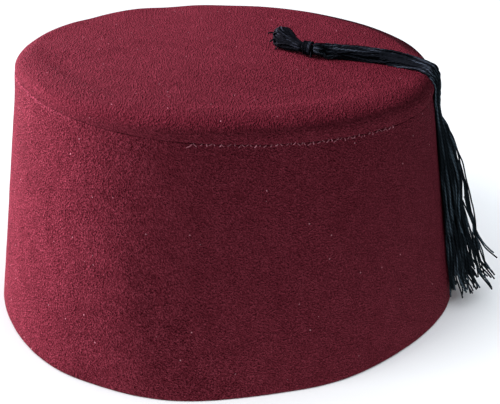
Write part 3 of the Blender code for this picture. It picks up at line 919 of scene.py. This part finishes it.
def strand_tables(chosen, locks):
    """For each thread: its strand's number and place in the lock, and its own in the strand."""
    strand, in_strand = np.full((2, THREADS), -1)
    in_lock = np.zeros((THREADS, 2))
    for n in range(len(locks)):
        members = np.flatnonzero(chosen == n)
        strands = math.ceil(len(members) / STRAND_THREADS)
        k = np.arange(len(members))
        strand[members] = strand.max() + 1 + k % strands
        in_lock[members] = disc_points(strands)[k % strands]
        in_strand[members] = k // strands
    return strand, in_lock, in_strand


def tassel_paths():
    """Every thread's path: along the bundle, over the rim and down to its own tip."""
    spots = disc_points(THREADS)[DICE.permutation(THREADS)]
    locks = lock_table()
    chosen = assign_locks(spots, locks)
    wander = thread_wander(THREADS, LYING_POINTS + HANGING_POINTS)
    upper = lying_paths(spots, wander[:, :LYING_POINTS])
    lower = hanging_paths(spots, wander[:, LYING_POINTS:], chosen, locks)
    return np.concatenate((upper, lower), axis=1)


def lying_paths(spots, wander):
    """The threads along the top and over the rim: flat against the felt, round on the outside."""
    rows = NECK_ROWS[1:] + BUNDLE_ROWS + EDGE_ROWS
    pick = np.linspace(0, len(rows) * 10, LYING_POINTS)
    middle, side, up, width, thick = along(route(rows + HANGING_ROWS, 10), pick)
    flat = smooth_step(pick / pick[-1] * 4)
    a = np.clip(spots[:, :1] * FILL + wander[..., 0] * TOP_WANDER, -1, 1)
    b = spots[:, 1:] * FILL + wander[..., 1] * TOP_WANDER
    round_b = np.clip(b, -1, 1)
    flat_b = np.clip(b + np.sqrt(np.maximum(FILL**2 - a**2, 0)), 0, 2) - FILL
    b = round_b + (flat_b - round_b) * flat
    steps = np.linalg.norm(np.diff(middle, axis=0), axis=1)
    wave = np.append(0, np.cumsum(steps)) * math.tau / CRIMP_PITCH
    wave = wave * DICE.uniform(0.8, 1.25, (THREADS, 1)) + DICE.uniform(0, 7, (THREADS, 1))
    across = a * width / 2 + CRIMP * np.sin(wave)
    above = b * thick / 2 + CRIMP * np.cos(wave * 0.83) * flat
    return middle + side * across[..., None] + up * above[..., None]


def hanging_paths(spots, wander, chosen, locks):
    """The threads down the wall, by height: from the bundle's section into their strands."""
    share, fan, tip_fan, near, tip_near, lock_tip, radius = locks[chosen].T[..., None]
    strand, in_lock, in_strand = strand_tables(chosen, locks)
    strand_tip = np.random.default_rng(31).uniform(*STRAND_TIP, strand.max() + 1)[strand]
    tip = lock_tip[:, 0] + strand_tip + DICE.uniform(-0.8, 0.8, THREADS)
    early = DICE.random(THREADS) < SHORT_THREADS
    tip = np.where(early, tip + DICE.uniform(*SHORTER, THREADS), tip)
    tip = np.maximum(tip, LOW_TIP + (tip - LOW_TIP) * LOW_TIP_SHARE)
    first = HANGING_ROWS[0].height
    height = first + (tip[:, None] - first) * np.linspace(0, 1, HANGING_POINTS + 1)[1:]

    # in the bundle's section, which lies flat against the felt
    rows = catmull(HANGING_ROWS, 10)[::-1].T
    base_deg, stand, width, thick = (np.interp(height, rows[1], rows[i]) for i in (0, 2, 3, 4))
    a, b = spots[:, :1] * FILL, spots[:, 1:] * FILL
    thick = thick * (1 - MASS_THINNER * hump(height, *MASS_THINNER_AT))
    above = b + np.sqrt(np.maximum(FILL**2 - a**2, 0))  # of the felt, by half the thickness
    core_side = -a * width / 2
    core_out = THREAD / 2 + np.minimum(stand, 0.3) / 2 + thick / 2 * above
    # the outermost threads stand away from the rest half way down
    outer = smooth_step((above - 1.15) / 0.6) * DICE.uniform(0, 1, (THREADS, 1))
    core_out += OUTER_LOOSE * outer * hump(height, *OUTER_LOOSE_AT)

    # in its strand, which twists down its lock and frays at the end
    down = np.clip((LOCK_START_HEIGHT - height) / (LOCK_START_HEIGHT - lock_tip), 0, 1.15)
    tight = radius * (0.95 - 0.2 * down)
    twist = in_strand[:, None] * math.tau / STRAND_THREADS + strand[:, None] * 2.4 + height / 4
    ply = STRAND_RADIUS * (1 + 0.9 * smooth_step((down - 0.85) / 0.2))
    lock_deg = LOCK_MIDDLE_DEG - base_deg + share * (fan + (tip_fan - fan) * down)
    lock_side = np.radians(lock_deg) * SKIRT_RADIUS + in_lock[:, :1] * tight + np.cos(twist) * ply
    lock_out = near + (tip_near - near) * down**2 + in_lock[:, 1:] * tight + np.sin(twist) * ply

    part = smooth_step((PARTING_HEIGHT - height) / (PARTING_HEIGHT - PARTED_HEIGHT))
    drift = wander[strand] * 0.75 + wander * 0.25
    high, low = WANDER_HEIGHTS
    drift = drift.transpose(2, 0, 1) * SKIRT_WANDER * smooth_step((high - height) / (high - low))
    side_way = core_side + (lock_side - core_side) * part + drift[0] * 1.6
    out_way = core_out + (lock_out - core_out) * part + drift[1]
    out_way += early[:, None] * 2 * down**2.5 * (near / 6)
    out_way *= 1 - np.interp(height, *np.array(SKIRT_THINNER).T)
    out_way = np.maximum(out_way, THREAD / 2 + 0.1)
    bearing = np.radians(base_deg) + side_way / SKIRT_RADIUS
    return wall_at_height(bearing, height) + ray(bearing, out_way)


def loose_paths():
    """Threads that have come away from the skirt."""
    paths = []
    for line in LOOSE_THREADS:
        line = catmull(np.stack(np.broadcast_arrays(*line), -1), 12)
        line = line[np.linspace(0, len(line) - 1, 40).astype(int)]
        bearing = np.radians(line[:, 0])
        path = wall_at_height(bearing, line[:, 1]) + ray(bearing, line[:, 2])
        paths.append(path + soft_waves(len(paths) + 50, path, (9, 20), 0.18)[:, None])
    return paths


def flat_paths():
    """Threads that lie right against the felt."""
    paths = []
    for k in range(FLAT_THREADS):
        path = []
        for arc, deg, step in FLAT_OVER_RIM:
            angle = math.radians(deg + step * k)
            path.append(rim_point(angle, arc) + UP * GAP + edge_out(angle, arc) * THREAD * 0.6)
        for height, deg, step in FLAT_DOWN_WALL:
            angle = math.radians(deg + step * k)
            stand = wall_relief(angle, height) + FLAT_STANDS[k % 2]
            path.append(wall_at_height(angle, height) + ray(angle, stand))
        paths.append(catmull(path, 6))
    return paths


def thread_wander(count, points):
    """Slow sideways drift of each thread, about -1 to 1, in two directions."""
    t = np.arange(points)
    total = np.zeros((count, points, 2))
    for length in (41, 23, 12):
        phase = DICE.uniform(0, math.tau, (count, 1, 2))
        rate = math.tau / (length * DICE.uniform(0.75, 1.3, (count, 1, 2)))
        total += np.sin(t[None, :, None] * rate + phase) * (length / 41) ** 0.7
    return total / 1.9


def make_tassel_threads(material):
    paths = tassel_paths()
    radii = np.full(paths.shape[:2], THREAD / 2)
    radii *= DICE.uniform(0.85, 1.12, (len(paths), 1))
    groups = [(paths, radii), even(loose_paths(), LOOSE_THREAD), even(flat_paths(), THREAD)]
    return tube_mesh("tassel_threads", groups, THREAD_SIDES, material)


def make_tassel_core(material):
    """The dark inside of the bundle, which the threads cover."""
    rows = HEAD_ROWS + NECK_ROWS + BUNDLE_ROWS + EDGE_ROWS + HANGING_ROWS[:3]
    turn = np.arange(24) * math.tau / 24
    across, above = 0.37 * np.cos(turn), 0.35 * np.sin(turn)
    way = route(rows, 4)
    rings = [m + np.outer(across, s) * w + np.outer(above, u) * h for m, s, u, w, h in zip(*way)]
    return ring_mesh("tassel_core", rings, material, poles=(way[0][0], way[0][-1]))


def make_head_loops(material):
    """The folded ends of the threads, which loop round the tassel's head."""
    way = route((HEAD_ROWS + NECK_ROWS[:1])[::-1], 10)
    length = len(way[0]) - 1
    paths = []
    for k in range(HEAD_LOOPS):
        reach = DICE.uniform(0.74, 1.03)
        start = k * GOLDEN_TURN
        swing = DICE.uniform(0.5, 1.3) * DICE.choice((-1, 1))
        depth = DICE.uniform(0.74, 1.05)
        t = np.linspace(0, 1, LOOP_POINTS)
        s = reach * (1 - np.abs(2 * t - 1) ** 2.4) * length
        turn = start + swing * smooth_step(t)
        turn += 0.26 * np.sin(t * 11 + k) + 0.12 * np.sin(t * 27 + 2 * k)
        middle, side, up, width, thick = along(way, s)
        across = (np.cos(turn) * (width - THREAD) / 2 * depth)[:, None]
        over = (np.sin(turn) * (thick - THREAD) / 2 * depth)[:, None]
        paths.append(middle + side * across + up * over)
    groups = [even(paths, HEAD_THREAD), even(head_ends(way), LOOSE_THREAD)]
    return tube_mesh("tassel_head_loops", groups, THREAD_SIDES, material)


def head_ends(way):
    """Cut ends that stick out of the head, most of them at its blunt end and towards the felt."""
    middle, side, up, width, thick = way
    dice = np.random.default_rng(12)
    away = unit(middle[-1] - middle[-12])
    paths = []
    for _ in range(HEAD_ENDS):
        n = dice.integers(len(middle) - 34, len(middle) - 8)
        turn = dice.uniform(0, math.tau)
        across, over = side[n] * math.cos(turn), up[n] * math.sin(turn)
        out = across + over
        start = middle[n] + across * width[n] * 0.42 + over * thick[n] * 0.42
        aim = away * dice.uniform(0.5, 1.2) + out * dice.uniform(0.2, 0.9)
        aim = unit(aim + UP * dice.uniform(-0.7, 0.2))
        length = dice.uniform(1.2, 2.6)
        t = np.linspace(-0.3, 1, 9)[:, None]
        path = start + aim * length * t + out * 0.5 * np.sin(2.4 * t)
        path -= 0.7 * np.maximum(t, 0) ** 2 * UP
        lowest = top_surface(path[:, 0], path[:, 1]) + LOOSE_THREAD * 0.6
        path[:, 2] = np.maximum(path[:, 2], lowest)
        paths.append(path)
    return paths


def make_neck_binding(material):
    """Thread wound round the neck, and its cut end."""
    start, end = (np.array(lying_station(row)[:3]) for row in NECK_ROWS)
    middle = (start + end) / 2
    ahead = unit(end - start)
    side = unit(np.cross(ahead, UP))
    up = np.cross(side, ahead)
    count = BINDING_TURNS * BINDING_STEPS
    t = np.arange(count + 1) / count
    turn = t * BINDING_TURNS * math.tau
    radius = NECK_THICK / 2 + GAP + BINDING_THREAD / 2 + 0.05 * np.sin(turn * 0.37 + 1)
    shift = (t - 0.5) * (BINDING_LENGTH - BINDING_THREAD) + 0.05 * np.sin(turn * 0.61)
    path = middle + np.outer(shift, ahead) + np.outer(np.cos(turn) * radius, side)
    path += np.outer(np.sin(turn) * radius, up)
    k = np.linspace(0, 1, 8)[:, None]
    tail = path[-1] + side * (-0.2 + 1.9 * k) + ahead * 0.5 * k - up * (0.5 + 1.6 * k**1.5)
    groups = [even([path], BINDING_THREAD), even([tail], BINDING_THREAD)]
    return tube_mesh("binding_thread", groups, 8, material)


# --- stage
def make_floor():
    """A wide pale floor, which isn't part of the object."""
    surface = Surface("studio_floor")
    surface.feed(surface.shader, {
        "Base Color": (0.92, 0.925, 0.93, 1), "Roughness": 0.85, "Specular IOR Level": 0.2,
    })
    mesh = bpy.data.meshes.new("studio_floor")
    corners = [(-FLOOR, -FLOOR, 0), (FLOOR, -FLOOR, 0), (FLOOR, FLOOR, 0), (-FLOOR, FLOOR, 0)]
    mesh.from_pydata(corners, [], [(0, 1, 2, 3)])
    mesh.materials.append(surface.material)
    floor = put_in_scene("studio_floor", mesh)
    floor.visible_glossy = False
    return floor


def add_light(name, place, aim, width, height, power, colour, lit, shape="RECTANGLE"):
    """A soft box that lights one collection alone."""
    light = bpy.data.lights.new(name, "AREA")
    light.shape, light.size, light.size_y = shape, width, height
    light.energy, light.color = power, colour
    made = put_in_scene(name, light)
    made.location = place
    made.rotation_euler = (Vector(aim) - Vector(place)).to_track_quat("-Z", "Y").to_euler()
    made.visible_camera = False
    made.light_linking.receiver_collection = lit


def collect(name, things):
    collection = bpy.data.collections.new(name)
    for thing in things:
        collection.objects.link(thing)
    return collection


def make_light(hat, floor):
    """A pale surround, and soft boxes that light the hat or the floor alone."""
    world = bpy.data.worlds.new("studio")
    bpy.context.scene.world = world
    world.use_nodes = True
    sky = world.node_tree.nodes["Background"]
    sky.inputs["Color"].default_value = (0.94, 0.975, 1, 1)
    sky.inputs["Strength"].default_value = 0.29
    world.cycles_visibility.glossy = False
    warm, pink, cool = (1, 0.985, 0.965), (1, 0.79, 0.9), (0.9, 0.945, 1)
    on_hat = collect("lit_hat", hat)
    on_floor = collect("lit_floor", [floor])
    add_light("key", (-0.502, 0.29, 0.13), (0, 0, 0.05), 0.62, 0.22, 13.2, pink, on_hat)
    add_light("over_hat", (-0.515, 0.1, 0.5), (0, 0, 0.09), 0.3, 0.3, 9.6, pink, on_hat)
    add_light("front_left", (-0.144, -0.308, 0.04), (0, 0, 0.04), 0.16, 0.1, 0.17, warm, on_hat)
    add_light("floor_fill", (0, 0, 1.5), (0, 0, 0), 3, 3, 44, cool, on_floor)
    add_light("floor_front", (-0.56, -0.28, 0.78), (0, 0, 0), 0.4, 0.4, 3.8, warm, on_floor)
    under = (0.01, -0.03)
    add_light("foot_glow", (*under, 0.0004), (*under, 1), 0.23, 0.23, 0.1, warm, on_hat, "DISK")


def make_camera():
    lens = bpy.data.cameras.new("camera")
    lens.lens, lens.sensor_width, lens.clip_start = CAMERA_LENS, 36, 0.01
    camera = put_in_scene("camera", lens)
    tilt = math.radians(CAMERA_ELEVATION_DEG)
    back = Vector((0, -math.cos(tilt), math.sin(tilt)))
    camera.location = CAMERA_TARGET + back * CAMERA_DISTANCE
    camera.rotation_euler = (math.pi / 2 - tilt, 0, 0)
    bpy.context.scene.camera = camera


def main():
    bpy.context.scene.view_settings.view_transform = "Standard"
    make_camera()
    floor = make_floor()
    felt = make_felt()
    sewing = make_thread("sewing_thread", SEWING_DARK, SEWING_LIGHT, 0.7, 0.2, 0.9)
    # the black threads' light tones are painted sheen, weaker on the head and binding
    black = make_thread("black_thread", BLACK_DARK, BLACK_PAINTED_SHEEN, 0.65, 0.015, 1.7)
    less_sheen = make_thread("black_thread_less_painted_sheen", BLACK_DARK, HEAD_PAINTED_SHEEN, 0.65, 0.015, 1.7)
    pieces = (
        (make_side_wall(felt), "wine_red_felt", "side_wall"),
        (make_top_panel(felt), "wine_red_felt", "top_panel"),
        (make_stitches(sewing), "wine_red_felt", None),
        (make_tassel_threads(black), "black_thread", "tassel"),
        (make_tassel_core(black), "black_thread", "tassel"),
        (make_head_loops(less_sheen), "black_thread", "tassel"),
        (make_neck_binding(less_sheen), "black_thread", "neck_binding"),
    )
    for piece, slot, node in pieces:
        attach(piece, "root")
        if node:
            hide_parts(node)
    make_light([piece for piece, _, _ in pieces], floor)


main()
